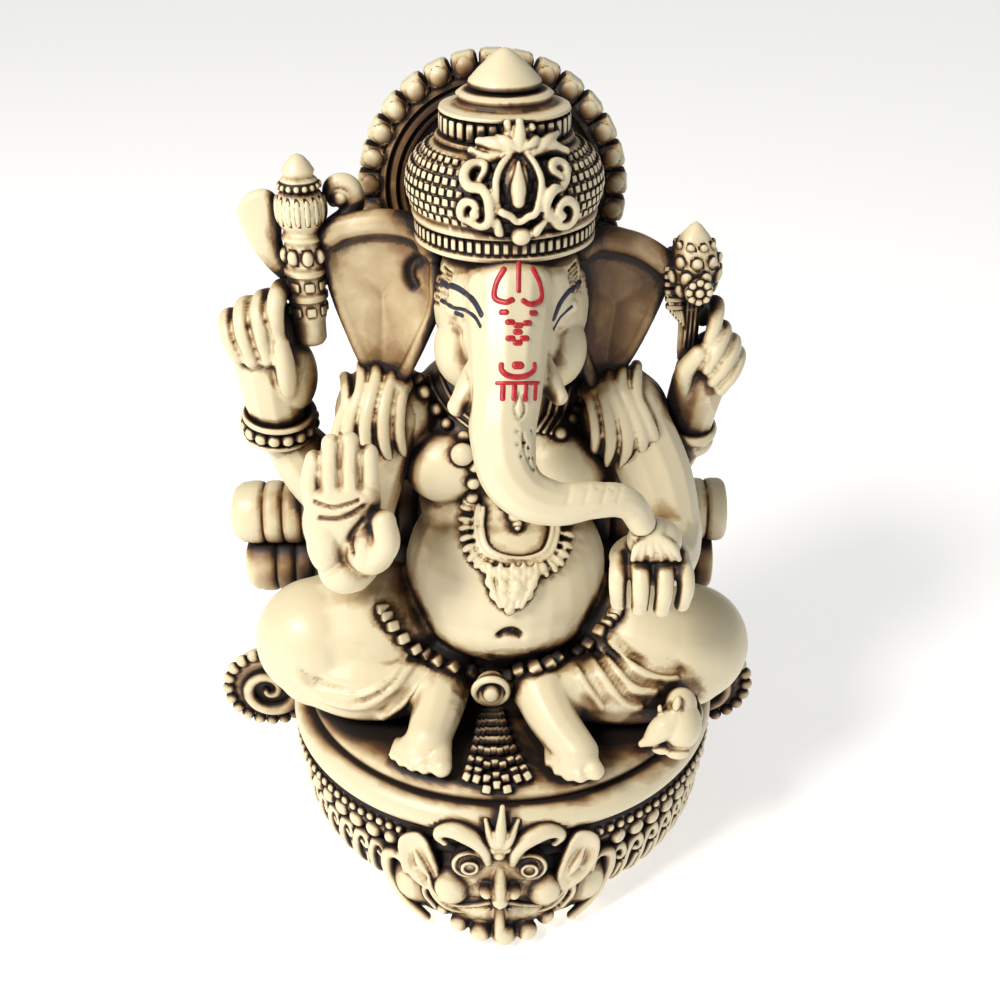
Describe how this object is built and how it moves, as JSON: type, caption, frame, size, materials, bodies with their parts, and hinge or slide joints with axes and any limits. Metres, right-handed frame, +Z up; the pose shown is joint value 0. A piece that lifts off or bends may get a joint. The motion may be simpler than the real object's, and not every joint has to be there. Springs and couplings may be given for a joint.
{
  "type": "ganesha idol",
  "caption": "Seated four-armed elephant-headed idol on a round pedestal with a lion mask, in ivory resin with a brown antique wash.",
  "frame": {"origin": "centre of the round pedestal, on the surface the idol stands on", "axes": "+Z up, -Y the way the idol faces, +X the idol's left"},
  "size_m": [0.1164, 0.0792, 0.1665],
  "materials": {
    "ivory_resin": "cast resin in ivory with a brown wash left in the hollows, satin",
    "green_felt": "thin felt",
    "dowel_steel": "plain steel"
  },
  "bodies": {
    "root": {"bead_apron": "ivory_resin", "bead_necklace": "ivory_resin", "belt_clasp": "ivory_resin", "blessing_hand": "ivory_resin", "collar_pendant": "ivory_resin", "crown_band": "ivory_resin", "crown_cap": "ivory_resin", "crown_finial": "ivory_resin", "crown_jewel": "ivory_resin", "crown_tiers": "ivory_resin", "felt_pad": "green_felt", "front_left_forearm": "ivory_resin", "front_left_upper_arm": "ivory_resin", "front_right_forearm": "ivory_resin", "front_right_upper_arm": "ivory_resin", "goad_blades": "ivory_resin", "goad_shaft": "ivory_resin", "halo_petals": "ivory_resin", "halo_plate": "ivory_resin", "head": "ivory_resin", "left_ear": "ivory_resin", "left_foot": "ivory_resin", "left_hem": "ivory_resin", "left_leg": "ivory_resin", "left_volute": "ivory_resin", "lion_mask_ears_crest": "ivory_resin", "lion_mask_eyes": "ivory_resin", "lion_mask_face": "ivory_resin", "lotus_club": "ivory_resin", "lower_bolster": "ivory_resin", "mouse": "ivory_resin", "pearl_row": "ivory_resin", "pedestal": "ivory_resin", "rear_left_bracelet": "ivory_resin", "rear_left_forearm": "ivory_resin", "rear_left_hand": "ivory_resin", "rear_left_upper_arm": "ivory_resin", "rear_right_bracelet": "ivory_resin", "rear_right_forearm": "ivory_resin", "rear_right_hand": "ivory_resin", "rear_right_upper_arm": "ivory_resin", "right_ear": "ivory_resin", "right_foot": "ivory_resin", "right_hem": "ivory_resin", "right_leg": "ivory_resin", "right_volute": "ivory_resin", "scroll_frieze": "ivory_resin", "seat_cord": "ivory_resin", "seat_cushion": "ivory_resin", "seat_roll": "ivory_resin", "shawl_folds": "ivory_resin", "steel_dowels": "dowel_steel", "sweet": "ivory_resin", "sweet_hand": "ivory_resin", "throne_back": "ivory_resin", "torso": "ivory_resin", "trunk": "ivory_resin", "tusks": "ivory_resin", "upper_bolster": "ivory_resin", "waist_beads": "ivory_resin"}
  },
  "joints": []
}
